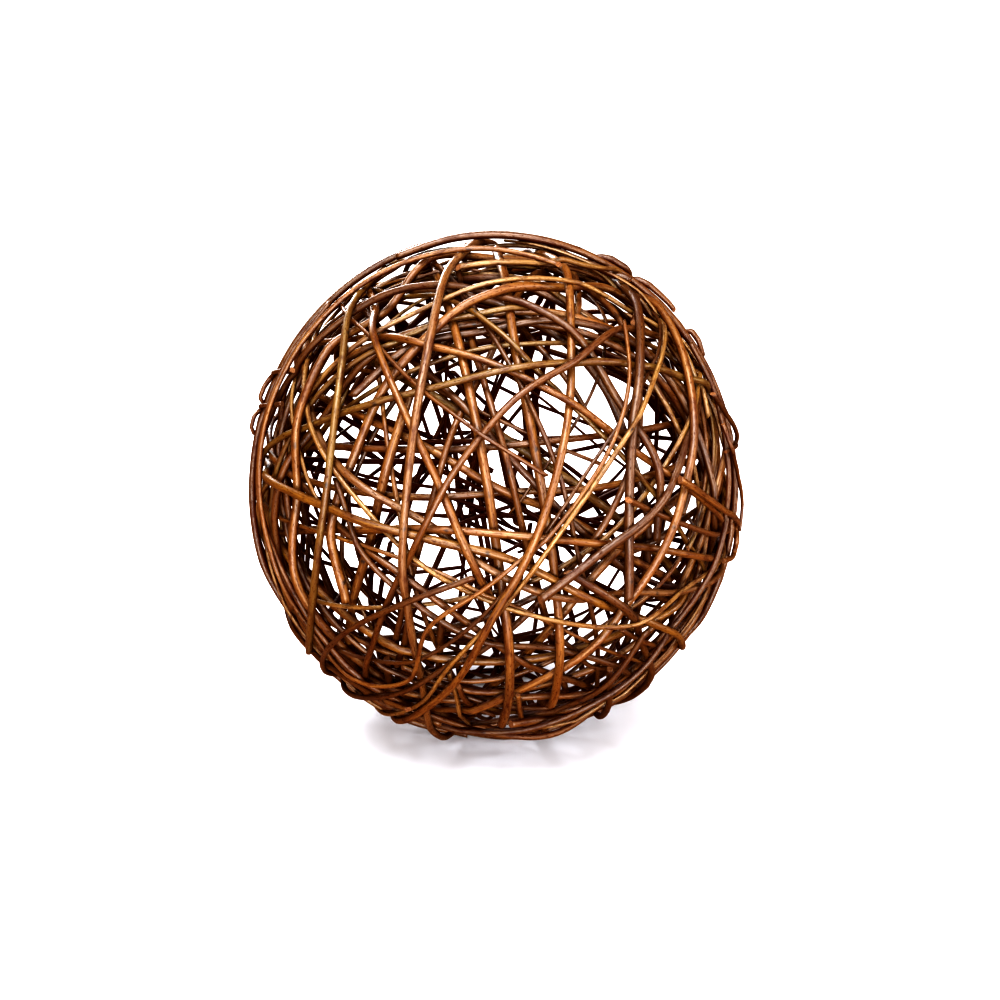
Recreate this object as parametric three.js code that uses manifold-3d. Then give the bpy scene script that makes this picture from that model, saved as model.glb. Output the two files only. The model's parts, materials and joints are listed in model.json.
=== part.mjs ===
// A decorative ball woven from willow rods, in millimetres, +Z up.
// Each rod is one long tapered shoot that runs once round the ball and passes over and under the others.
// The ball stands on a small flat spot. The origin is on the floor, under the middle of the ball,
// and the front of the ball faces -Y.
import * as THREE from "three";
import { mergeVertices } from "three/addons/utils/BufferGeometryUtils.js";
import Module from "manifold-3d";

// Driving dimensions.
const BALL_WIDTH = 300; // over the outermost rods
const TALLNESS = 21 / 20; // the ball's height over its width, before the base is pressed in
const BASE_PRESS = 9; // how far the underside is pressed in where the ball stands
const FLAT_DEPTH = 0.6; // how much is pared off the rods that touch the floor
const SHELL_DEPTH = 24; // from the outermost rod's line to the innermost rod's line, as first laid
const ROD_GAP = 0.3; // clear space between two rods that cross
const STOUT_ROD = 5; // butt diameters
const COMMON_ROD = 4.2;
const SLENDER_ROD = 3;
const TIP_SHARE = 0.7; // a rod's tip diameter as a share of its butt diameter
const STEP_LENGTH = 42; // the longest straight step along a rod
const ROD_SIDES = 4;
const LOOP = THREE.MathUtils.degToRad(342); // a rod's run round the ball

// The places below are seen by an eye in front of the ball and a little above its middle.
const EYE_DISTANCE = 2 * BALL_WIDTH;
const EYE_ANGLE = THREE.MathUtils.degToRad(15);

// One line for each rod: its thickness, how deep it lies in the shell (0 outermost, 1 innermost),
// and three places that it passes on the front. A place is across and up from the middle of the
// ball's outline, in hundredths of the outline's radius. A rod with `end` begins at its first place,
// and the ends of any other rod meet on the far side. The places of a rod with `from` are seen from
// below, with +X across and +Y up, or from behind, by an eye as high as the one in front.
const stout = STOUT_ROD;
const common = COMMON_ROD;
const slender = SLENDER_ROD;
const RODS = [
  { size: stout, depth: 0.05, places: [[-7, 100], [-34, 3], [-24, -94]] },
  { size: stout, depth: 0.2, places: [[3, -92], [0, -17], [-6, 16]], end: true },
  { size: common, depth: 0.5, places: [[-14, 82], [-4, 41], [6, 5]] },
  { size: stout, depth: 0.2, places: [[1, 94], [11, 57], [18, 15]], end: true },
  { size: stout, depth: 0.1, places: [[31, 79], [29, 25], [8, -33]] },
  { size: common, depth: 0.15, places: [[-37, 61], [44, 25], [98, -20]] },
  { size: stout, depth: 0.35, places: [[-76, 40], [-48, 61], [-14, 70]] },
  { size: stout, depth: 0.15, places: [[-72, 68], [-78, 39], [-49, -1]] },
  { size: stout, depth: 0.4, places: [[-35, 38], [-43, 11], [-53, -21]], end: true },
  { size: common, depth: 0.25, places: [[-88, -19], [-10, -16], [76, -24]], end: true },
  { size: common, depth: 0.6, places: [[-78, 5], [-10, -4], [66, 7]] },
  { size: common, depth: 0.65, places: [[-60, 18], [2, 19], [78, 29]] },
  { size: common, depth: 0.1, places: [[66, 64], [18, 46], [-20, -1]] },
  { size: slender, depth: 0.1, places: [[-58, 57], [-2, 81], [74, 60]] },
  { size: stout, depth: 0.2, places: [[28, 80], [76, 61], [90, 5]] },
  { size: common, depth: 0, places: [[-70, 72], [-6, 102], [48, 90]] },
  { size: stout, depth: 0.1, places: [[-46, 78], [4, 98], [58, 83]] },
  { size: common, depth: 0.3, places: [[62, 49], [82, 26], [88, -9]] },
  { size: stout, depth: 0, places: [[-26, -22], [22, -38], [74, -62]] },
  { size: slender, depth: 0.05, places: [[-36, -24], [-2, -46], [42, -52]] },
  { size: common, depth: 0.2, places: [[-85, 8], [-36, -37], [47, -83]] },
  { size: common, depth: 0, places: [[-78, -70], [-66, 7], [-56, 73]], end: true },
  { size: slender, depth: 0.45, places: [[-50, 79], [-44, 23], [-39, -10]] },
  { size: common, depth: 0.05, places: [[78, 47], [-6, 46], [-79, 24]] },
  { size: slender, depth: 0.4, places: [[-60, 36], [-2, 59], [64, 59]] },
  { size: slender, depth: 0, places: [[68, 73], [38, 2], [-18, -69]] },
  { size: common, depth: 0.5, places: [[55, 55], [58, 31], [44, -11]] },
  { size: slender, depth: 0.3, places: [[53, 12], [71, -13], [82, -36]] },
  { size: slender, depth: 0.35, places: [[75, 21], [44, -19], [-18, -45]] },
  { size: stout, depth: 0.1, places: [[66, -23], [49, -51], [28, -71]] },
  { size: common, depth: 0.7, places: [[32, -38], [62, -21], [82, -8]] },
  { size: common, depth: 0.55, places: [[69, -35], [-8, 6], [-57, 31]], end: true },
  { size: stout, depth: 0.75, places: [[-69, 63], [-28, 39], [20, 9]], end: true },
  { size: common, depth: 0.2, places: [[88, -13], [82, -44], [44, -64]] },
  { size: common, depth: 0.2, places: [[86, -45], [0, -88], [-85, -45]] },
  { size: common, depth: 0, places: [[91, -40], [60, -83], [-15, -96]] },
  { size: common, depth: 0, places: [[-98, -5], [-75, -67], [-18, -96]] },
  { size: slender, depth: 0, places: [[-87, -29], [-68, -66], [-26, -52]] },
  { size: stout, depth: 0.3, places: [[-73, -41], [-40, -62], [8, -69]] },
  { size: slender, depth: 0.25, places: [[10, 42], [32, -11], [44, -67]] },
  { size: slender, depth: 0.8, places: [[-41, 38], [-55, 11], [-61, -19]] },
  { size: common, depth: 0.35, places: [[-86, 19], [-85, 1], [-79, -29]] },
  { size: common, depth: 0.1, places: [[-84, 41], [-96, 15], [-96, -15]] },
  { size: common, depth: 0.25, places: [[87, 41], [89, 19], [89, -5]] },
  { size: stout, depth: 0.5, places: [[33, 74], [62, 55], [85, 31]] },
  { size: stout, depth: 0.6, places: [[10, 72], [36, 54], [52, 29]] },
  { size: stout, depth: 0.4, places: [[92, 1], [48, -28], [10, -72]] },
  { size: common, depth: 0.6, places: [[3, 65], [-14, 25], [-28, -14]] },
  { size: common, depth: 0.5, places: [[51, -29], [62, -39], [77, -45]] },
  { size: slender, depth: 0.4, places: [[-21, -74], [3, -76], [26, -69]] },
  { size: common, depth: 0, places: [[-30, 3], [2, -30], [30, -2]], from: "below" },
  { size: common, depth: 0, places: [[29, -6], [-3, 30], [-30, 5]], from: "below" },
  { size: stout, depth: 0.1, places: [[-80, 30], [-10, 46], [72, 18]], from: "behind" },
  { size: common, depth: 0, places: [[-62, -52], [0, -30], [76, -38]], from: "behind" },
  { size: stout, depth: 0.05, places: [[-42, 84], [-20, 10], [-34, -78]], from: "behind" },
  { size: common, depth: 0.15, places: [[54, 76], [38, 4], [8, -84]], from: "behind" },
  { size: slender, depth: 0, places: [[-72, -14], [4, 8], [58, 64]], from: "behind" },
  { size: common, depth: 0.1, places: [[-76, 52], [-4, -8], [64, -66]], from: "behind" },
];

const TRIAL_STEPS = 60; // to measure a rod before it is stepped off

// How the rods settle as they are woven.
const SMOOTHING = 0.3; // how much a point follows its neighbours in each round
const SPRING = 0.2; // how much it goes back to where it was laid
const FOOT_PULL = 2; // how far an outermost rod is drawn down over the flat spot
const OUTERMOST = 0.3; // the depth that counts as outermost there
const EASED_ROUNDS = 320; // rounds over which the rods come to rest
const MOST_ROUNDS = 1500;
const ROUNDS_PER_SEARCH = 15;
const SAME_ROD_STEPS = 3; // steps of one rod that are closer in order than this may meet
const WATCHED = 2 * STOUT_ROD; // how near two steps come before they are watched

const OUTER = BALL_WIDTH / 2;
const BALL_HEIGHT = TALLNESS * BALL_WIDTH;
const MIDDLE = new THREE.Vector3(0, 0, BALL_HEIGHT / 2 - BASE_PRESS);
const FOOT_REACH = OUTER * Math.sqrt(1 - (MIDDLE.z / (BALL_HEIGHT / 2)) ** 2); // the flat spot's radius

// The eye and the picture that it sees, measured from the ball's middle.
const eye = new THREE.Vector3(0, -Math.cos(EYE_ANGLE), Math.sin(EYE_ANGLE)).multiplyScalar(EYE_DISTANCE);
const across = new THREE.Vector3(1, 0, 0);
const up = new THREE.Vector3(0, Math.sin(EYE_ANGLE), Math.cos(EYE_ANGLE));
const meanRadius = (BALL_WIDTH + BALL_HEIGHT) / 4;
const outlineRadius = meanRadius / Math.sqrt(1 - (meanRadius / EYE_DISTANCE) ** 2);

// The point on a shell of this radius where a place is seen from below.
function pointBelow([right, high], radius) {
  const [x, y] = [right, high].map((share) => (share / 100) * OUTER);
  return new THREE.Vector3(x, y, -Math.sqrt(radius ** 2 - x ** 2 - y ** 2));
}

// The point on a shell of this radius where the eye sees a place, as if the ball were round.
function pointInFront([right, high], radius) {
  const from = eye.clone();
  const toward = across.clone().multiplyScalar((right / 100) * outlineRadius)
    .addScaledVector(up, (high / 100) * outlineRadius)
    .sub(eye);
  from.z /= TALLNESS;
  toward.z /= TALLNESS;
  toward.normalize();
  const nearest = -from.dot(toward);
  const miss = from.clone().addScaledVector(toward, nearest).length();
  const half = Math.sqrt(Math.max(0, radius ** 2 - miss ** 2));
  return from.addScaledVector(toward, nearest - half).setLength(radius);
}

function pointBehind(place, radius) {
  return pointInFront(place, radius).applyAxisAngle(new THREE.Vector3(0, 0, 1), Math.PI);
}

const SIGHTS = { front: pointInFront, below: pointBelow, behind: pointBehind };

// The line of a rod as first laid: a circle on its shell through its three places, which beyond them
// eases out to the ball's full girth.
function layRod({ size, depth, places, end, from = "front" }) {
  const radius = OUTER - size / 2 - depth * SHELL_DEPTH;
  const [a, b, c] = places.map((place) => SIGHTS[from](place, radius));
  const normal = b.clone().sub(a).cross(c.clone().sub(a)).normalize();
  const offset = normal.dot(b);
  const middle = b.clone().addScaledVector(normal, -offset).normalize();
  const side = normal.clone().cross(middle);
  const angleOf = (point) => Math.atan2(point.dot(side), point.dot(middle));
  const pointAt = (angle) => {
    const [first, last] = angle < 0 ? [angleOf(a), -Math.PI] : [angleOf(c), Math.PI];
    const eased = THREE.MathUtils.smoothstep(angle / last, first / last, 1);
    const away = offset * (1 - eased);
    const point = middle.clone().multiplyScalar(Math.cos(angle)).addScaledVector(side, Math.sin(angle));
    point.multiplyScalar(Math.sqrt(radius ** 2 - away ** 2)).addScaledVector(normal, away);
    point.z *= TALLNESS;
    return point.add(MIDDLE);
  };
  const start = end ? angleOf(a) : -LOOP / 2;
  const trial = Array.from({ length: TRIAL_STEPS + 1 }, (_, i) => pointAt(start + (LOOP * i) / TRIAL_STEPS));
  const course = new THREE.CatmullRomCurve3(trial);
  const steps = Math.ceil(course.getLength() / STEP_LENGTH);
  const points = course.getSpacedPoints(steps);
  const radii = points.map((_, i) => (size / 2) * THREE.MathUtils.lerp(1, TIP_SHARE, i / steps));
  return { points, laid: points.map((point) => point.clone()), radii, outermost: depth <= OUTERMOST };
}

// Where two straight steps pass closest: the share along each, and the gap from the second to the first.
function closest(p0, p1, q0, q1) {
  const u = p1.clone().sub(p0);
  const v = q1.clone().sub(q0);
  const gap = p0.clone().sub(q0);
  const uu = u.dot(u);
  const vv = v.dot(v);
  const uv = u.dot(v);
  const spread = uu * vv - uv ** 2;
  const inStep = (share) => THREE.MathUtils.clamp(share, 0, 1);
  let s = 0.5;
  if (spread > 0) s = inStep((uv * v.dot(gap) - vv * u.dot(gap)) / spread);
  const t = inStep((uv * s + v.dot(gap)) / vv);
  s = inStep((uv * t - u.dot(gap)) / uu);
  gap.addScaledVector(u, s).addScaledVector(v, -t);
  return { s, t, gap };
}

// Every two steps that lie near each other, as [rod, step, rod, step].
function nearSteps(rods) {
  const steps = rods.flatMap((rod) => rod.points.slice(1).map((end, i) => {
    const start = rod.points[i];
    return { rod, i, middle: start.clone().lerp(end, 0.5), reach: start.distanceTo(end) / 2 };
  }));
  const pairs = [];
  steps.forEach((one, a) => {
    for (const two of steps.slice(a + 1)) {
      if (one.rod === two.rod && Math.abs(one.i - two.i) < SAME_ROD_STEPS) continue;
      if (one.middle.distanceTo(two.middle) > one.reach + two.reach + WATCHED) continue;
      pairs.push([one.rod, one.i, two.rod, two.i]);
    }
  });
  return pairs;
}

// Moves two steps apart until their rods clear each other, and returns how much room was missing.
function partSteps(A, i, B, j) {
  const { s, t, gap } = closest(A.points[i], A.points[i + 1], B.points[j], B.points[j + 1]);
  const need = Math.max(A.radii[i], A.radii[i + 1]) + Math.max(B.radii[j], B.radii[j + 1]) + ROD_GAP;
  const missing = need - gap.length();
  if (missing <= 0) return 0;
  if (gap.length() === 0) gap.subVectors(A.points[i], MIDDLE);
  gap.setLength(missing / ((1 - s) ** 2 + s ** 2 + (1 - t) ** 2 + t ** 2));
  A.points[i].addScaledVector(gap, 1 - s);
  A.points[i + 1].addScaledVector(gap, s);
  B.points[j].addScaledVector(gap, t - 1);
  B.points[j + 1].addScaledVector(gap, -t);
  return missing;
}

// Eases a rod towards the line it was laid on, as a springy shoot does, and draws it down at the base.
function springBack({ points, laid, outermost }, ease) {
  const shift = points.map((point, i) => point.clone().sub(laid[i]));
  points.forEach((point, i) => {
    const before = shift[Math.max(i - 1, 0)];
    const after = shift[Math.min(i + 1, points.length - 1)];
    const smooth = before.clone().add(after).multiplyScalar(0.5).sub(shift[i]);
    point.addScaledVector(smooth, SMOOTHING * ease);
    point.addScaledVector(shift[i], -SPRING * ease);
    const underfoot = point.z < MIDDLE.z && Math.hypot(point.x, point.y) < FOOT_REACH;
    if (underfoot && outermost) point.z -= FOOT_PULL * ease;
  });
}

// Keeps a rod inside the ball's outline and on the floor.
function confine({ points, radii }) {
  points.forEach((point, i) => {
    const arm = point.clone().sub(MIDDLE);
    arm.z /= TALLNESS;
    arm.clampLength(0, OUTER - radii[i]);
    arm.z *= TALLNESS;
    point.copy(MIDDLE).add(arm);
    point.z = Math.max(point.z, radii[i] - FLAT_DEPTH);
  });
}

// Weaves the rods: each gives way to the others until all of them clear.
function weave(rods) {
  let pairs = [];
  for (let round = 0; round < MOST_ROUNDS; round++) {
    const ease = Math.max(0, 1 - round / EASED_ROUNDS);
    if (round % ROUNDS_PER_SEARCH === 0) pairs = nearSteps(rods);
    for (const rod of rods) {
      springBack(rod, ease);
      confine(rod);
    }
    const missing = pairs.map(([A, i, B, j]) => partSteps(A, i, B, j));
    if (ease === 0 && Math.max(...missing) < ROD_GAP / 10) return;
  }
}

// A tapered rod: a cylinder with a ring of corners at each point of its line.
function rodGeometry({ points, radii }) {
  const steps = points.length - 1;
  const geometry = new THREE.CylinderGeometry(1, 1, 1, ROD_SIDES, steps);
  geometry.deleteAttribute("normal");
  geometry.deleteAttribute("uv");
  const rings = points.map((point, i) => {
    const along = points[Math.min(i + 1, steps)].clone().sub(points[Math.max(i - 1, 0)]).normalize();
    const outward = point.clone().sub(MIDDLE);
    outward.addScaledVector(along, -outward.dot(along)).normalize();
    return { outward, side: along.clone().cross(outward) };
  });
  const position = geometry.getAttribute("position");
  const corner = new THREE.Vector3();
  for (let k = 0; k < position.count; k++) {
    corner.fromBufferAttribute(position, k);
    const i = Math.round((corner.y + 0.5) * steps);
    const { x, z } = corner.multiplyScalar(radii[i]);
    corner.copy(points[i]).addScaledVector(rings[i].outward, z).addScaledVector(rings[i].side, x);
    position.setXYZ(k, corner.x, corner.y, corner.z);
  }
  return mergeVertices(geometry);
}

const wasm = await Module();
wasm.setup();

function toSolid(geometry) {
  return new wasm.Manifold(new wasm.Mesh({
    numProp: 3,
    vertProperties: geometry.getAttribute("position").array,
    triVerts: Uint32Array.from(geometry.index.array),
  }));
}

function toGeometry(solid) {
  const { vertProperties, triVerts } = solid.getMesh();
  const geometry = new THREE.BufferGeometry();
  geometry.setAttribute("position", new THREE.BufferAttribute(vertProperties, 3));
  geometry.setIndex(new THREE.BufferAttribute(triVerts, 1));
  return geometry;
}

// Everything under the floor, which is pared off the rods that the ball stands on.
function underFloor() {
  const geometry = new THREE.BoxGeometry(BALL_WIDTH, BALL_WIDTH, BALL_HEIGHT);
  geometry.translate(0, 0, -BALL_HEIGHT / 2);
  geometry.deleteAttribute("normal");
  geometry.deleteAttribute("uv");
  return toSolid(mergeVertices(geometry));
}

const FINISHES = new Map([
  [stout, { name: "stout_bark", color: 0x8a4e2c, roughness: 0.42 }],
  [common, { name: "brown_bark", color: 0x7c4526, roughness: 0.46 }],
  [slender, { name: "slender_bark", color: 0x8d6840, roughness: 0.5 }],
]);

const rods = RODS.map(layRod);
weave(rods);

const ball = new THREE.Group();
rods.forEach((rod, i) => {
  let geometry = rodGeometry(rod);
  const stands = rod.points.some((point, k) => point.z < rod.radii[k]);
  if (stands) geometry = toGeometry(toSolid(geometry).subtract(underFloor()));
  const mesh = new THREE.Mesh(geometry, new THREE.MeshStandardMaterial(FINISHES.get(RODS[i].size)));
  mesh.name = `willow_rod_${String(i + 1).padStart(2, "0")}`;
  ball.add(mesh);
});

export default ball;
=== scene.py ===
"""A decorative ball woven from willow rods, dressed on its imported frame: round tapered rods with bark,
buds and cut ends, and the finer shoots that are woven in between them."""

import json
import math
import random

import bpy
import numpy as np
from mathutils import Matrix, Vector, kdtree


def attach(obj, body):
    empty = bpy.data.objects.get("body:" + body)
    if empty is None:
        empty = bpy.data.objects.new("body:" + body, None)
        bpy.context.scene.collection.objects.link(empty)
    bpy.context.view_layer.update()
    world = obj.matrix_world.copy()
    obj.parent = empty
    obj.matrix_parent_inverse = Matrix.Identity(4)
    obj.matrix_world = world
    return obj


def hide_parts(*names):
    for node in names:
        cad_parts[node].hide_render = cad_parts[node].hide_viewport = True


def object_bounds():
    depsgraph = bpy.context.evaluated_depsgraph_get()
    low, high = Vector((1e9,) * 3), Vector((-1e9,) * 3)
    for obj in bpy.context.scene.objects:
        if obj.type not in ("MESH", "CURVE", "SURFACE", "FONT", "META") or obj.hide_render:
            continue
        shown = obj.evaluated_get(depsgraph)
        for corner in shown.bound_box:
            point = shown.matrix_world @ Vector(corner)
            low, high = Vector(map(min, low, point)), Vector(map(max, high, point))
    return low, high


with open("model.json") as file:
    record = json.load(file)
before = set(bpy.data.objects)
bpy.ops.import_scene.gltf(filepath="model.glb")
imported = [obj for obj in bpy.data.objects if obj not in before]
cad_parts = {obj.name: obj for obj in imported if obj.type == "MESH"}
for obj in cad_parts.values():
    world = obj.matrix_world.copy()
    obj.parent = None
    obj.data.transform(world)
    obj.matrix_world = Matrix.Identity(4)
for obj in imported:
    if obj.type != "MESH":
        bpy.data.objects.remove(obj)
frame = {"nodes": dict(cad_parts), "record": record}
cad_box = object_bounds()

MM = 0.001

# The ball's height to its width, before its base is pressed in.
TALL, WIDE = 21, 20

# The ball's middle and half sizes, from the frame.
LOW = np.array(cad_box[0])
HIGH = np.array(cad_box[1])
HALF_WIDTH = max(HIGH[0] - LOW[0], HIGH[1] - LOW[1]) / 2
HALF_HEIGHT = HALF_WIDTH * TALL / WIDE
MIDDLE = np.array([0, 0, HIGH[2] - HALF_HEIGHT])
SHELL_DEPTH = 24 * MM  # from the outermost rod's line to the innermost rod's line, as first laid

# The photograph's view: an eye in front of the ball and a little above its middle.
EYE_DISTANCE = 4 * HALF_WIDTH
EYE_ANGLE = math.radians(15)
FACING = np.array([0, -math.cos(EYE_ANGLE), math.sin(EYE_ANGLE)])
EYE = FACING * EYE_DISTANCE
ACROSS = np.array([1.0, 0, 0])
UP = np.array([0, math.sin(EYE_ANGLE), math.cos(EYE_ANGLE)])
MEAN_RADIUS = (HALF_WIDTH + HALF_HEIGHT) / 2
OUTLINE_RADIUS = MEAN_RADIUS / math.sqrt(1 - (MEAN_RADIUS / EYE_DISTANCE) ** 2)

# How finely the rods are made.
RING_STEP = 2.2 * MM
ROD_SIDES = 12
SHOOT_SIDES = 8


class Strand:
    """One rod or shoot: its line, its radius along that line, and how it looks."""

    def __init__(self, name, slot, tint, points, radii, sides, node=None, proud=0):
        self.name = name
        self.slot = slot
        self.tint = tint
        self.points = points
        self.radii = radii
        self.sides = sides
        self.node = node
        self.proud = proud  # how far it may stand out of the ball's round outline, within its box


def arc_lengths(points):
    return np.concatenate([[0], np.cumsum(np.linalg.norm(np.diff(points, axis=0), axis=1))])


def smooth_line(knots, values, step):
    """A smooth line through the knots with a point every step, and the values carried along it."""
    at = arc_lengths(knots)
    count = max(3, int(round(at[-1] / step)) + 1)
    wanted = np.linspace(0, at[-1], count)
    padded = np.vstack([2 * knots[0] - knots[1], knots, 2 * knots[-1] - knots[-2]])
    segment = np.clip(np.searchsorted(at, wanted, side="right") - 1, 0, len(knots) - 2)
    t = ((wanted - at[segment]) / (at[segment + 1] - at[segment]))[:, None]
    p0, p1, p2, p3 = (padded[segment + k] for k in range(4))
    line = 0.5 * (
        2 * p1
        + (p2 - p0) * t
        + (2 * p0 - 5 * p1 + 4 * p2 - p3) * t**2
        + (3 * p1 - p0 - 3 * p2 + p3) * t**3
    )
    return line, np.interp(wanted, at, values)


# Reading the rods from the frame.
RING_REACH = 6 * MM  # corners of one ring lie closer than this, and rings lie further apart
FLOOR_SKIN = 0.01 * MM  # corners below this lie on the floor
WELD_GRID = FLOOR_SKIN / 10  # corners that round to the same place on this grid are one


def welded(mesh):
    """The mesh's separate corners, and the pairs of corners that its edges join."""
    first = {}
    cells = (tuple(round(c / WELD_GRID) for c in v.co) for v in mesh.vertices)
    place = [first.setdefault(cell, len(first)) for cell in cells]
    corners = np.zeros((len(first), 3))
    for vertex, k in zip(mesh.vertices, place):
        corners[k] = vertex.co
    edges = {tuple(sorted((place[a], place[b]))) for a, b in (e.vertices for e in mesh.edges)}
    return corners, [(a, b) for a, b in edges if a != b]


def ring_circle(corners):
    """The middle and radius of the circle through a ring's corners."""
    centre = corners.mean(axis=0)
    flat = np.linalg.svd(corners - centre)[2][:2]
    xy = (corners - centre) @ flat.T
    rows = np.column_stack([2 * xy, np.ones(len(xy))])
    solved = np.linalg.lstsq(rows, (xy**2).sum(axis=1), rcond=None)[0]
    radius = math.sqrt(solved[2] + solved[0] ** 2 + solved[1] ** 2)
    return centre + solved[:2] @ flat, radius


def read_rod(node):
    """The ring middles and radii of a CAD rod, from its thick end to its thin end."""
    corners, edges = welded(frame["nodes"][node].data)
    length = {e: np.linalg.norm(corners[e[0]] - corners[e[1]]) for e in edges}
    longest = np.zeros(len(corners))
    for (a, b), size in length.items():
        longest[a] = max(longest[a], size)
        longest[b] = max(longest[b], size)
    on_ring = (longest > RING_REACH) & (corners[:, 2] > FLOOR_SKIN)
    ring = list(range(len(corners)))

    def root(k):
        while ring[k] != k:
            k = ring[k]
        return k

    for (a, b), size in length.items():
        if size < RING_REACH and on_ring[a] and on_ring[b]:
            ring[root(a)] = root(b)
    members = {}
    for k in range(len(corners)):
        if on_ring[k]:
            members.setdefault(root(k), []).append(k)
    members = {k: m for k, m in members.items() if len(m) > 2}
    beside = {k: set() for k in members}
    for a, b in edges:
        ra, rb = root(a), root(b)
        if ra != rb and ra in beside and rb in beside:
            beside[ra].add(rb)
            beside[rb].add(ra)
    order = [min((k for k in beside if len(beside[k]) == 1), default=min(beside))]
    while True:
        onward = [k for k in beside[order[-1]] if k not in order]
        if not onward:
            break
        order.append(onward[0])
    middles, radii = zip(*(ring_circle(corners[members[k]]) for k in order))
    if radii[0] < radii[-1]:
        middles, radii = middles[::-1], radii[::-1]
    return np.array(middles), np.array(radii)


# The finer shoots between the rods. A place is across and up from the middle of the ball's outline, in
# hundredths of the outline's radius, as the photograph's eye sees it. Depth is 0 outermost, 1 innermost.
# Each line is: thickness in mm, tint, depth, places.
FRONT_SHOOTS = [
    (3.6, "brown", 0.9, [(-1, 74), (16, 58), (28, 44), (36, 31)]),
    (3.4, "tan", 0.1, [(-15, 88), (16, 90), (38, 88), (53, 84)]),
    (3.0, "dark", 0.4, [(22, -56), (30, -63), (37, -69), (45, -70)]),
    (3.2, "brown", 0.3, [(50, -55), (60, -60), (67, -63)]),
    (3.4, "dark", 0.6, [(78, 27), (77, 12), (74, -10)]),
    (3.4, "brown", 0.7, [(62, 46), (67, 35), (73, 16)]),
    (3.0, "tan", 0.3, [(-18, -72), (-15, -81), (-10, -93)]),
    (3.2, "brown", 0.3, [(-16, -77), (-9, -86), (0, -89)]),
    (4.2, "dark", 0.5, [(-21, -50), (-22, -78), (-21, -84)]),
    (4.4, "brown", 0.4, [(-43, -67), (-42, -76), (-41, -85)]),
    (4.4, "dark", 0.4, [(-34, -52), (-36, -61), (-39, -70)]),
]


# Tips that curl out over the ball's rim, with their thickness in mm, tint, depth and places.
CURLED_TIPS = [
    (3.4, "brown", 0.1, [(-80, 48), (-87, 45), (-93.5, 41), (-94, 37), (-90.5, 33)]),
    (3.2, "brown", 0.1, [(-84, 34), (-92, 32), (-97, 29.5), (-98.5, 26), (-95, 22)]),
    (3.8, "brown", 0.2, [(52, 82), (57, 84.5), (63, 83.5), (67, 80), (69.5, 76), (70.5, 71)]),
    (3.6, "brown", 0.2, [(74, 61), (78, 64), (80.5, 64), (82, 60), (82, 53)]),
    (3.0, "dark", 0, [(86, 38), (91, 30), (97, 22.5), (95, 18), (91, 15)]),
    (4.0, "copper", 0, [(72, 4), (82, -2), (90, -8), (96, -14), (99.5, -21), (97, -26), (90, -28)]),
    (3.8, "dark", 0.2, [(37, 92), (43, 93.5), (48, 93.5), (52.5, 90), (54.5, 80), (54.5, 66)]),
    (2.6, "brown", 0, [(90, 26), (93, 15), (96, 5), (98, -6), (97, -16)]),
]
CURL_PROUD = 3.5 * MM

# A shoot's tip thickness as a share of its thick end.
FRONT_TIP_SHARE = 0.75
FINE_TIP_SHARE = 0.7

# Slender shoots that fill the weave between the rods, all round the ball. Some of them ring the ball as
# the rods do that make its dense rim.
FILLING_SHOOTS = 28
FILLING_STEP = 3.6 * MM
FILLING_THICKNESS = (2.2, 3.3)  # mm
FILLING_DEPTH = (0.15, 0.9)
FILLING_RUN = (150, 330)  # degrees
FILLING_ASIDE = (-0.4, 0.4)  # how far a shoot's circle lies off the ball's middle, as a share of the radius
FILLING_WAVE = (-0.1, 0.1)  # how far each wave carries it off that circle
FILLING_WAVES = (1, 2, 3)  # waves on one turn round the ball
FEWEST_POINTS = 8
RIM_SHARE = 0.4  # the share of them that ring the ball along its rim
RIM_LEAN = 0.45  # how far those may lean off the rim
START_LEAN = 0.1  # angles count from a direction square to a line that climbs this much


def on_shell(place, radius):
    """Where the photograph's eye sees a place on a shell of the ball, measured from the ball's middle."""
    tall = HALF_HEIGHT / HALF_WIDTH
    aim = (place[0] * ACROSS + place[1] * UP) * OUTLINE_RADIUS / 100 - EYE
    squeeze = np.array([1, 1, 1 / tall])
    start = EYE * squeeze
    aim = aim * squeeze / np.linalg.norm(aim * squeeze)
    nearest = -start @ aim
    miss = np.linalg.norm(start + aim * nearest)
    half = math.sqrt(max(0, radius**2 - miss**2))
    return (start + aim * (nearest - half)) / squeeze


def woven_shoot(places, depth, thickness):
    """The line of a shoot through its places, bowed with the ball's surface between them."""
    radius = HALF_WIDTH - thickness / 2 - depth * SHELL_DEPTH
    knots = np.array([on_shell(p, radius) for p in places])
    reach = np.linalg.norm(knots, axis=1)
    line, reach = smooth_line(knots, reach, RING_STEP)
    return MIDDLE + line * (reach / np.linalg.norm(line, axis=1))[:, None]


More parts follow.
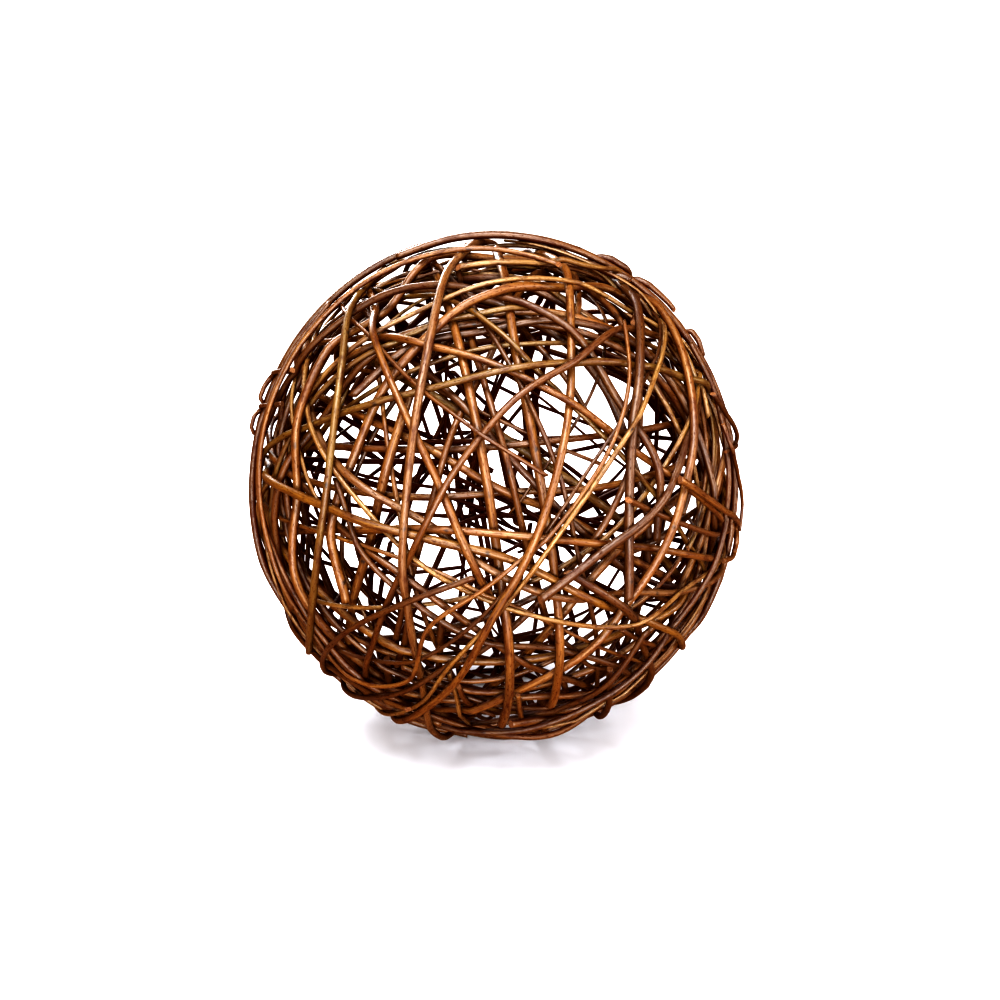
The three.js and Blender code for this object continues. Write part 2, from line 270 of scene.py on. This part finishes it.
def filling_shoot(rng):
    """The line and radii of one shoot that wanders round the ball on its own circle."""
    thickness = rng.uniform(*FILLING_THICKNESS) * MM
    radius = HALF_WIDTH - thickness / 2 - rng.uniform(*FILLING_DEPTH) * SHELL_DEPTH
    axis = np.array([rng.gauss(0, 1) for _ in range(3)])
    axis /= np.linalg.norm(axis)
    if rng.random() < RIM_SHARE:
        axis = FACING + RIM_LEAN * axis
        axis /= np.linalg.norm(axis)
    first = np.cross(axis, ACROSS + START_LEAN * UP)
    first /= np.linalg.norm(first)
    second = np.cross(axis, first)
    run = math.radians(rng.uniform(*FILLING_RUN))
    count = max(FEWEST_POINTS, int(run * radius / FILLING_STEP))
    angle = rng.uniform(0, 2 * math.pi) + np.linspace(0, run, count)
    aside = rng.uniform(*FILLING_ASIDE)
    for waves in FILLING_WAVES:
        aside = aside + rng.uniform(*FILLING_WAVE) * np.sin(waves * angle + rng.uniform(0, 2 * math.pi))
    girth = np.sqrt(1 - aside**2)
    line = first * (girth * np.cos(angle))[:, None] + second * (girth * np.sin(angle))[:, None]
    line = (line + axis * aside[:, None]) * radius * [1, 1, HALF_HEIGHT / HALF_WIDTH]
    return MIDDLE + line, np.linspace(thickness, FINE_TIP_SHARE * thickness, len(line)) / 2


# How the rods give way to each other.
SETTLE_ROUNDS = 60
UNEASED_ROUNDS = 12  # the last rounds, in which the strands are no longer smoothed
SETTLE_SHARE = 0.35  # how much of an overlap one round takes away
TOUCH = 0.05 * MM  # the overlap that settling aims at where strands touch
PAIR_SEARCH_EVERY = 12
NEIGHBOUR_STEPS = 8  # steps of one strand up to this many apart never push each other
TINY = 1e-9
TINY_SQUARED = 1e-18


def near_pairs(middles, owner, order, reach):
    """Pairs of steps, of different strands or far apart on one strand, that lie near each other."""
    tree = kdtree.KDTree(len(middles))
    for k, middle in enumerate(middles):
        tree.insert(middle, k)
    tree.balance()
    pairs = []
    for a, middle in enumerate(middles):
        for _, b, _ in tree.find_range(middle, reach):
            if b > a and (owner[a] != owner[b] or abs(order[a] - order[b]) > NEIGHBOUR_STEPS):
                pairs.append((a, b))
    return np.array(pairs)


def closest_shares(p, u, q, v):
    """Where two straight steps, p + s u and q + t v, pass closest."""
    gap = p - q
    uu, vv, uv = ((x * y).sum(axis=1) for x, y in ((u, u), (v, v), (u, v)))
    ug, vg = ((x * gap).sum(axis=1) for x in (u, v))
    s = np.clip((uv * vg - vv * ug) / np.maximum(uu * vv - uv**2, TINY_SQUARED), 0, 1)
    t = np.clip((uv * s + vg) / vv, 0, 1)
    s = np.clip((uv * t - ug) / uu, 0, 1)
    return s, t


def settle(strands):
    """Lets the strands give way to each other, round by round, until little of their overlap is left."""
    points = np.concatenate([s.points for s in strands])
    radii = np.concatenate([s.radii for s in strands])
    counts = [len(s.points) for s in strands]
    proud = np.repeat([s.proud for s in strands], counts)
    ends = np.cumsum(counts)
    owner_of_point = np.repeat(np.arange(len(strands)), counts)
    start = np.flatnonzero(owner_of_point[:-1] == owner_of_point[1:])
    owner = owner_of_point[start]
    laid = points.copy()
    give = radii**-2.0
    give /= give.mean()
    for round_number in range(SETTLE_ROUNDS):
        if round_number % PAIR_SEARCH_EVERY == 0:
            middles = (points[start] + points[start + 1]) / 2
            pairs = near_pairs(middles, owner, start, 2 * radii.max() + 2 * FILLING_STEP)
            a, b = start[pairs[:, 0]], start[pairs[:, 1]]
        u, v = points[a + 1] - points[a], points[b + 1] - points[b]
        s, t = closest_shares(points[a], u, points[b], v)
        gap = points[a] + u * s[:, None] - points[b] - v * t[:, None]
        apart = np.linalg.norm(gap, axis=1)
        missing = radii[a] + radii[b] - TOUCH - apart
        hit = missing > 0
        a_hit, b_hit, s_hit, t_hit = a[hit], b[hit], s[hit], t[hit]
        push = gap[hit] / np.maximum(apart[hit], TINY)[:, None]
        shares = [
            (a_hit, 1 - s_hit, 1),
            (a_hit + 1, s_hit, 1),
            (b_hit, 1 - t_hit, -1),
            (b_hit + 1, t_hit, -1),
        ]
        total = sum(give[k] * share**2 for k, share, _ in shares)
        size = SETTLE_SHARE * missing[hit] / total
        move = np.zeros_like(points)
        for k, share, sign in shares:
            np.add.at(move, k, push * (sign * size * share * give[k])[:, None])
        points = points + move
        shift = points - laid
        eased = shift.copy()
        eased[1:-1] = 0.25 * shift[:-2] + 0.5 * shift[1:-1] + 0.25 * shift[2:]
        tips = np.concatenate([[0], ends[:-1], ends - 1])
        eased[tips] = shift[tips]
        if round_number < SETTLE_ROUNDS - UNEASED_ROUNDS:
            points = laid + eased
        points = confined(points, radii, proud)
    for strand, stop, count in zip(strands, ends, counts):
        strand.points = points[stop - count : stop]


BARK_RELIEF = 0.35 * MM  # the most that a bud stands proud of the bark round it


def confined(points, radii, proud):
    """The points moved inside the ball's outline and box and above the floor.

    How far a strand may stand proud of the outline comes on top."""
    half = np.array([HIGH[0] - LOW[0], HIGH[1] - LOW[1], 2 * HALF_HEIGHT]) / 2
    middle = np.array([(LOW[0] + HIGH[0]) / 2, (LOW[1] + HIGH[1]) / 2, MIDDLE[2]])
    room = half - (radii + BARK_RELIEF - proud)[:, None]
    arm = (points - middle) / room
    reach = np.maximum(np.linalg.norm(arm, axis=1), 1)[:, None]
    points = middle + arm / reach * room
    inset = (radii + BARK_RELIEF)[:, None]
    points = np.clip(points, LOW + inset, HIGH - inset)
    points[:, 2] = np.maximum(points[:, 2], radii)
    return points


# The bark's relief: slow swelling, buds set round the shoot one after another, and slanting cut ends.
BUD_SPACING = (20 * MM, 38 * MM)
BUD_TURN = math.radians(144)
BUD_STRAY = 0.3  # radians
BUD_LENGTH = 1.8 * MM
BUD_WIDTH = 0.55  # radians
BUD_SIZE = (0.4, 1)
BUD_HEIGHT = 0.22  # as a share of the rod's radius
FIRST_BUD = 0.5  # how far along the first spacing the first bud sits
NODE_LENGTH = 2.2 * BUD_LENGTH
NODE_SWELL = 0.07
SWELLINGS = 4
SWELLING = 0.022  # as a share of the rod's radius
SWELLING_SIZE = (0.3, 1)
SWELLING_LENGTH = (6, 26)  # mm along the rod for one radian of a wave
CUT_SLANT = 1.1
ROUND = 6.28  # radians, about once round


def ring_radii(along, radii, turn, rng):
    """The radius at each corner of each ring, and how much of a bud is there."""
    wave = sum(
        rng.uniform(*SWELLING_SIZE)
        * np.sin(along / (rng.uniform(*SWELLING_LENGTH) * MM) + rng.uniform(0, ROUND))
        for _ in range(SWELLINGS)
    )
    radius = (radii * (1 + SWELLING * wave))[:, None] * np.ones(len(turn))
    bud = np.zeros_like(radius)
    at = rng.uniform(*BUD_SPACING) * FIRST_BUD
    side = rng.uniform(0, ROUND)
    while at < along[-1]:
        near = np.exp(-(((along - at) / BUD_LENGTH) ** 2))
        wide = np.exp(-(((along - at) / NODE_LENGTH) ** 2))
        around = np.angle(np.exp(1j * (turn - side)))
        spot = np.outer(near, np.exp(-((around / BUD_WIDTH) ** 2)))
        size = rng.uniform(*BUD_SIZE)
        radius *= 1 + NODE_SWELL * size * wide[:, None]
        radius += np.minimum(BUD_HEIGHT * radii[:, None], BARK_RELIEF) * size * spot
        bud = np.maximum(bud, size * spot)
        side += BUD_TURN + rng.uniform(-BUD_STRAY, BUD_STRAY)
        at += rng.uniform(*BUD_SPACING)
    return radius, bud


def build_strand(strand, materials, rng):
    """A mesh tube along the strand with its bark relief and its two cut ends."""
    points, radii, sides = strand.points, strand.radii, strand.sides
    along = arc_lengths(points)
    count = len(points)
    tangent = np.gradient(points, axis=0)
    tangent /= np.linalg.norm(tangent, axis=1)[:, None]
    outward = points - MIDDLE
    outward -= (outward * tangent).sum(axis=1)[:, None] * tangent
    outward /= np.linalg.norm(outward, axis=1)[:, None]
    side = np.cross(tangent, outward)
    turn = np.arange(sides) * 2 * math.pi / sides
    radius, bud = ring_radii(along, radii, turn, rng)
    cos, sin = np.cos(turn), np.sin(turn)
    ring = outward[:, None, :] * cos[None, :, None] + side[:, None, :] * sin[None, :, None]
    corners = points[:, None, :] + ring * radius[:, :, None]
    for end, slant in ((0, rng.uniform(-1, 1)), (-1, rng.uniform(-1, 1))):
        lean = np.cos(turn - rng.uniform(0, ROUND))
        corners[end] += tangent[end] * (CUT_SLANT * slant * radius[end] * lean)[:, None]
    corners[:, :, 2] = np.maximum(corners[:, :, 2], 0)
    offset = rng.uniform(0, 1)
    lengthwise = np.repeat(along[:, None], sides, axis=1) + offset
    place = np.stack([radius * cos, radius * sin, lengthwise], axis=2)
    vertices = np.concatenate([corners.reshape(-1, 3), corners[:1].mean(axis=1), corners[-1:].mean(axis=1)])
    place = np.concatenate([place.reshape(-1, 3), [[0, 0, offset]], [[0, 0, offset + along[-1]]]])
    bud = np.concatenate([bud.ravel(), [0, 0]])
    inner = np.concatenate([np.tile(-cos, count), [0, 0]])
    k = np.arange(count - 1)[:, None] * sides + np.arange(sides)[None, :]
    step = np.arange(count - 1)[:, None] * sides + (np.arange(sides)[None, :] + 1) % sides
    quads = np.stack([k, step, step + sides, k + sides], axis=2).reshape(-1, 4).tolist()
    first, last = count * sides, count * sides + 1
    around = [(j, (j + 1) % sides) for j in range(sides)]
    base = (count - 1) * sides
    caps = [(first, b, a) for a, b in around] + [(last, base + a, base + b) for a, b in around]
    mesh = bpy.data.meshes.new(strand.name)
    mesh.from_pydata(vertices.tolist(), [], quads + caps)
    mesh.attributes.new("bark_place", "FLOAT_VECTOR", "POINT").data.foreach_set("vector", place.ravel())
    mesh.attributes.new("bud", "FLOAT", "POINT").data.foreach_set("value", bud)
    # How far each corner faces into the ball; the bark paints shade on that side by it.
    mesh.attributes.new("inner_side", "FLOAT", "POINT").data.foreach_set("value", inner)
    mesh.materials.append(materials[strand.tint])
    mesh.materials.append(materials["cut"])
    mesh.polygons.foreach_set("use_smooth", [True] * len(quads) + [False] * len(caps))
    mesh.polygons.foreach_set("material_index", [0] * len(quads) + [1] * len(caps))
    mesh.update()
    piece = bpy.data.objects.new(strand.name, mesh)
    bpy.context.scene.collection.objects.link(piece)
    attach(piece, "root")
    if strand.node:
        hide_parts(strand.node)
    return piece


# Sockets of the colour mix node.
MIX_FACTOR, MIX_FIRST, MIX_SECOND = 0, 6, 7
MIX_RESULT = 2


def linear(red, green, blue):
    """A colour given as it looks on a screen, 0 to 255, as the light values that shaders take."""
    def one(c):
        c /= 255
        return c / 12.92 if c <= 0.04045 else ((c + 0.055) / 1.055) ** 2.4
    return one(red), one(green), one(blue), 1


class Nodes:
    """Short ways to add and join a material's nodes."""

    def __init__(self, name):
        self.material = bpy.data.materials.new(name)
        self.material.use_nodes = True
        self.tree = self.material.node_tree
        self.shader = self.tree.nodes["Principled BSDF"]

    def add(self, kind, **settings):
        node = self.tree.nodes.new(kind)
        for key, value in settings.items():
            if hasattr(node, key):
                setattr(node, key, value)
            else:
                node.inputs[key.replace("_", " ")].default_value = value
        return node

    def join(self, source, target):
        self.tree.links.new(source, target)

    def noise(self, place, scale, detail=3, roughness=0.6):
        """Noise over the bark, with scale as features per metre around and along the rod."""
        stretch = self.add("ShaderNodeMapping", vector_type="POINT")
        stretch.inputs["Scale"].default_value = (scale[0], scale[0], scale[1])
        self.join(place, stretch.inputs["Vector"])
        node = self.add("ShaderNodeTexNoise", Scale=1.0, Detail=detail, Roughness=roughness)
        self.join(stretch.outputs[0], node.inputs["Vector"])
        return node.outputs["Fac"]

    def ramp(self, value, low, high):
        node = self.add("ShaderNodeMapRange", From_Min=low, From_Max=high)
        self.join(value, node.inputs["Value"])
        return node.outputs["Result"]

    def mix(self, factor, a, b):
        node = self.add("ShaderNodeMix", data_type="RGBA")
        for value, socket in ((factor, MIX_FACTOR), (a, MIX_FIRST), (b, MIX_SECOND)):
            if isinstance(value, bpy.types.NodeSocket):
                self.join(value, node.inputs[socket])
            else:
                node.inputs[socket].default_value = value
        return node.outputs[MIX_RESULT]

    def times(self, value, factor):
        node = self.add("ShaderNodeMath", operation="MULTIPLY")
        self.join(value, node.inputs[0])
        if isinstance(factor, bpy.types.NodeSocket):
            self.join(factor, node.inputs[1])
        else:
            node.inputs[1].default_value = factor
        return node.outputs[0]

    def bump(self, height, distance):
        node = self.add("ShaderNodeBump", Distance=distance, Strength=1.0)
        self.join(height, node.inputs["Height"])
        self.join(node.outputs[0], self.shader.inputs["Normal"])


# The patterns of bark and wood, as features per metre around and along the rod.
DRIFT = (60, 14)
STREAKS = (900, 45)
BLOTCHES = (260, 90)
SPECKS = (1500, 420)
PATCHES = (40, 22)
GRAIN = (1800, 300)

# What is laid over the bark's own colours.
PATCH_COLOUR = linear(92, 50, 12)
BLOTCH_COLOUR = linear(84, 38, 8)
SPECK_COLOUR = linear(64, 26, 6)
BUD_COLOUR = linear(38, 15, 8)
# Painted shade for the side of a rod that faces into the ball.
PAINTED_INNER_SHADE = linear(84, 25, 6)
PALE_WOOD = linear(176, 132, 92)
DARK_WOOD = linear(120, 78, 48)

STREAK_DEPTH = 0.3 * MM
GRAIN_DEPTH = 0.2 * MM


def bark(name, main, other, streak):
    """Varnished willow bark: a main colour that drifts to another, lengthwise streaks, specks and dark buds.

    The side that faces into the ball is darker by painted shade, to match how dark the ball's inside looks.
    Each colour is laid over the ones before it, by a pattern that rises between two values and by its share."""
    n = Nodes(name)
    place = n.add("ShaderNodeAttribute", attribute_name="bark_place").outputs["Vector"]
    bud = n.add("ShaderNodeAttribute", attribute_name="bud").outputs["Fac"]
    inner = n.add("ShaderNodeAttribute", attribute_name="inner_side").outputs["Fac"]
    drift = n.ramp(n.noise(place, DRIFT, 2), 0.35, 0.68)
    streaks = n.noise(place, STREAKS, 4, 0.7)
    blotch = n.noise(place, BLOTCHES, 4, 0.65)
    speck = n.noise(place, SPECKS, 2)
    patches = n.noise(place, PATCHES, 2)
    colour = n.mix(drift, linear(*main), linear(*other))
    colour = n.mix(n.times(n.ramp(patches, 0.45, 0.65), 0.6), colour, PATCH_COLOUR)
    colour = n.mix(n.times(n.ramp(streaks, 0.46, 0.66), 0.8), colour, linear(*streak))
    colour = n.mix(n.times(n.ramp(blotch, 0.52, 0.66), 0.7), colour, BLOTCH_COLOUR)
    colour = n.mix(n.times(n.ramp(speck, 0.58, 0.68), 0.6), colour, SPECK_COLOUR)
    colour = n.mix(n.times(n.ramp(bud, 0.25, 0.7), 0.85), colour, BUD_COLOUR)
    # Painted shade: the side that faces into the ball is darkened.
    colour = n.mix(n.times(n.ramp(inner, 0.0, 0.75), 0.85), colour, PAINTED_INNER_SHADE)
    n.join(colour, n.shader.inputs["Base Color"])
    n.join(n.ramp(streaks, -1.2, 1.6), n.shader.inputs["Roughness"])
    # Less coat on the side that faces into the ball, so its painted shade stays dark.
    shine = n.times(n.ramp(inner, 0.7, -0.1), n.ramp(speck, 0.68, 0.56))
    n.join(n.times(shine, n.ramp(blotch, 0.8, 0.5)), n.shader.inputs["Coat Weight"])
    n.shader.inputs["Specular IOR Level"].default_value = 0.5
    n.shader.inputs["Coat Roughness"].default_value = 0.48
    n.shader.inputs["Coat IOR"].default_value = 1.8
    n.bump(streaks, STREAK_DEPTH)
    return n.material


def cut_wood():
    """The pale pith and wood of a cut end."""
    n = Nodes("cut_willow")
    place = n.add("ShaderNodeAttribute", attribute_name="bark_place").outputs["Vector"]
    grain = n.noise(place, GRAIN, 3)
    wood = n.mix(n.ramp(grain, 0.35, 0.65), PALE_WOOD, DARK_WOOD)
    n.join(wood, n.shader.inputs["Base Color"])
    n.shader.inputs["Roughness"].default_value = 0.75
    n.bump(grain, GRAIN_DEPTH)
    return n.material


MATERIALS = {
    "copper": bark("copper_bark", (140, 90, 26), (120, 74, 14), (168, 126, 66)),
    "brown": bark("brown_bark", (120, 75, 18), (134, 88, 24), (96, 55, 8)),
    "dark": bark("dark_bark", (104, 64, 14), (122, 80, 20), (78, 42, 6)),
    "pink": bark("pinkish_bark", (140, 98, 48), (122, 78, 22), (164, 128, 88)),
    "olive": bark("olive_bark", (130, 96, 34), (118, 78, 20), (150, 124, 68)),
    "mustard": bark("mustard_bark", (138, 94, 20), (122, 76, 12), (164, 122, 44)),
    "tan": bark("tan_bark", (156, 118, 58), (134, 90, 26), (184, 152, 104)),
    "cut": cut_wood(),
}

# The tints of rods by their number. The other rods take turns with three tints.
ROD_TINTS = {
    1: "pink", 4: "copper", 5: "copper", 6: "copper", 7: "copper", 8: "pink", 9: "copper", 10: "copper",
    13: "brown", 14: "tan", 15: "copper", 16: "brown", 19: "mustard", 20: "tan", 22: "olive", 24: "olive",
    25: "olive", 26: "tan", 28: "olive", 29: "tan", 30: "copper", 33: "olive", 39: "mustard", 41: "dark",
    47: "copper",
}
OTHER_TINTS = ("brown", "dark", "copper")
FILLING_TINTS = ("brown", "dark", "dark", "copper", "olive", "tan")


def rod_strands():
    slots = {s["node"]: s["material_slot"] for s in frame["record"]["subparts"]}
    strands = []
    for node in sorted(frame["nodes"]):
        middles, radii = read_rod(node)
        line, radii = smooth_line(middles, radii, RING_STEP)
        number = int(node.rsplit("_", 1)[1])
        tint = ROD_TINTS.get(number, OTHER_TINTS[number % len(OTHER_TINTS)])
        strands.append(Strand(f"bark_rod_{number:02d}", slots[node], tint, line, radii, ROD_SIDES, node))
    return strands


def shoot_strands():
    strands = []
    for k, (thickness, tint, depth, places) in enumerate(FRONT_SHOOTS):
        line = woven_shoot(places, depth, thickness * MM)
        radii = np.linspace(thickness, FRONT_TIP_SHARE * thickness, len(line)) * MM / 2
        strands.append(Strand(f"front_shoot_{k + 1:02d}", "slender_bark", tint, line, radii, SHOOT_SIDES))
    for k, (thickness, tint, depth, places) in enumerate(CURLED_TIPS):
        line = woven_shoot(places, depth, thickness * MM)
        radii = np.linspace(thickness, FINE_TIP_SHARE * thickness, len(line)) * MM / 2
        name = f"curled_tip_{k + 1}"
        strands.append(Strand(name, "slender_bark", tint, line, radii, SHOOT_SIDES, proud=CURL_PROUD))
    rng = random.Random(FILLING_SHOOTS)
    for k in range(FILLING_SHOOTS):
        line, radii = filling_shoot(rng)
        tint = rng.choice(FILLING_TINTS)
        strands.append(Strand(f"filling_shoot_{k + 1:02d}", "slender_bark", tint, line, radii, SHOOT_SIDES))
    return strands


# The camera, floor and lights.
FOCAL_LENGTH = 34.4  # mm
SENSOR = 36  # mm
LOOK_SHIFT = (0.005, -0.010)  # the ball's middle in the picture, as shares of its width
CLIP_START = 0.01
WHITE = (1, 1, 1, 1)
FLOOR_REACH = 40  # in half widths of the ball
FLOOR_COLOUR = (0.64, 0.62, 0.64, 1)
FLOOR_BOUNCE = (0.3, 0.15, 0.09, 1)  # the floor's colour for all light but the camera's
# The floor's glow is weakest near the ball, which paints shade round the ball on top of its real shadows.
GLOW_REACH = (0.3, 1.4)  # where the floor's glow starts to rise and is full, in half widths of the ball
GLOW = (0.12, 0.9)
FILL_COLOUR = (1, 0.22, 0.06, 1)  # the surroundings' colour for all light but the camera's
FILL_STRENGTH = 0.08
BACKDROP_STRENGTH = 1.2
LAMP_COLOUR = (0.9, 0.97, 1.03)

# Each lamp's name, its place and size in metres, and its power in watts.
LAMPS = [
    ("top_softbox", (-0.1, -0.75, 1.35), (0.8, 0.5), 19),
    ("front_softbox", (-0.5, -1.4, 0.6), (0.5, 0.5), 5.5),
    ("side_softbox", (1.2, -0.6, 0.45), (0.3, 0.5), 6.5),
    ("low_softbox", (0.1, -1.4, 0.14), (0.7, 0.22), 12),
    ("back_softbox", (-0.5, 1.1, 0.95), (0.6, 0.4), 20),
]

# The picture's tones.
GAMMA = 0.78
BLACK_LEVEL = (0, 0.005, 0.007)


def add_camera():
    data = bpy.data.cameras.new("camera")
    data.lens = FOCAL_LENGTH
    data.sensor_width = SENSOR
    data.shift_x, data.shift_y = LOOK_SHIFT
    data.clip_start = CLIP_START
    camera = bpy.data.objects.new("camera", data)
    camera.location = MIDDLE + EYE
    camera.rotation_euler = (-Vector(FACING)).to_track_quat("-Z", "Y").to_euler()
    bpy.context.scene.collection.objects.link(camera)
    bpy.context.scene.camera = camera


def add_light(name, place, size, power):
    data = bpy.data.lights.new(name, "AREA")
    data.shape = "RECTANGLE"
    data.size, data.size_y = size
    data.energy = power
    data.color = LAMP_COLOUR
    light = bpy.data.objects.new(name, data)
    light.location = place
    light.rotation_euler = (Vector(MIDDLE) - Vector(place)).to_track_quat("-Z", "Y").to_euler()
    bpy.context.scene.collection.objects.link(light)


def add_floor():
    mesh = bpy.data.meshes.new("floor")
    reach = FLOOR_REACH * HALF_WIDTH
    corners = [(-reach, -reach, 0), (reach, -reach, 0), (reach, reach, 0), (-reach, reach, 0)]
    mesh.from_pydata(corners, [], [(0, 1, 2, 3)])
    floor = bpy.data.objects.new("floor", mesh)
    bpy.context.scene.collection.objects.link(floor)
    mesh.materials.append(white_floor())


def white_floor():
    """A white floor with soft shadows near the ball, cast by the lamps and deepened by painted shade:
    its glow is weaker near the ball. It fades to pure white and throws little light back.
    """
    n = Nodes("white_floor")
    n.shader.inputs["Base Color"].default_value = FLOOR_COLOUR
    n.shader.inputs["Roughness"].default_value = 0.9
    n.shader.inputs["Specular IOR Level"].default_value = 0
    n.shader.inputs["Emission Color"].default_value = WHITE
    away = n.add("ShaderNodeVectorMath", operation="LENGTH")
    n.join(n.add("ShaderNodeNewGeometry").outputs["Position"], away.inputs[0])
    near, far = (share * HALF_WIDTH for share in GLOW_REACH)
    # Painted shade: the floor glows less near the ball.
    glow = n.add("ShaderNodeMapRange", From_Min=near, From_Max=far, To_Min=GLOW[0], To_Max=GLOW[1])
    n.join(away.outputs["Value"], glow.inputs["Value"])
    n.join(glow.outputs["Result"], n.shader.inputs["Emission Strength"])
    dim = n.add("ShaderNodeBsdfDiffuse", Color=FLOOR_BOUNCE)
    choose = n.add("ShaderNodeMixShader")
    n.join(n.add("ShaderNodeLightPath").outputs["Is Camera Ray"], choose.inputs[0])
    n.join(dim.outputs[0], choose.inputs[1])
    n.join(n.shader.outputs[0], choose.inputs[2])
    n.join(choose.outputs[0], n.tree.nodes["Material Output"].inputs["Surface"])
    return n.material


def add_world():
    world = bpy.data.worlds.new("studio")
    bpy.context.scene.world = world
    world.use_nodes = True
    nodes, links = world.node_tree.nodes, world.node_tree.links
    background = nodes["Background"]
    seen = nodes.new("ShaderNodeLightPath").outputs["Is Camera Ray"]
    colour = nodes.new("ShaderNodeMix")
    colour.data_type = "RGBA"
    colour.inputs[MIX_FIRST].default_value = FILL_COLOUR
    colour.inputs[MIX_SECOND].default_value = WHITE
    links.new(seen, colour.inputs[MIX_FACTOR])
    links.new(colour.outputs[MIX_RESULT], background.inputs["Color"])
    strength = nodes.new("ShaderNodeMapRange")
    strength.inputs["To Min"].default_value = FILL_STRENGTH
    strength.inputs["To Max"].default_value = BACKDROP_STRENGTH
    links.new(seen, strength.inputs["Value"])
    links.new(strength.outputs["Result"], background.inputs["Strength"])


add_camera()
add_floor()
add_world()
for lamp in LAMPS:
    add_light(*lamp)
scene = bpy.context.scene
scene.view_settings.view_transform = "Standard"
scene.view_settings.look = "Very High Contrast"
scene.view_settings.gamma = GAMMA
scene.view_settings.use_curve_mapping = True
scene.view_settings.curve_mapping.black_level = BLACK_LEVEL

strands = rod_strands() + shoot_strands()
settle(strands)
for number, strand in enumerate(strands):
    build_strand(strand, MATERIALS, random.Random(number))
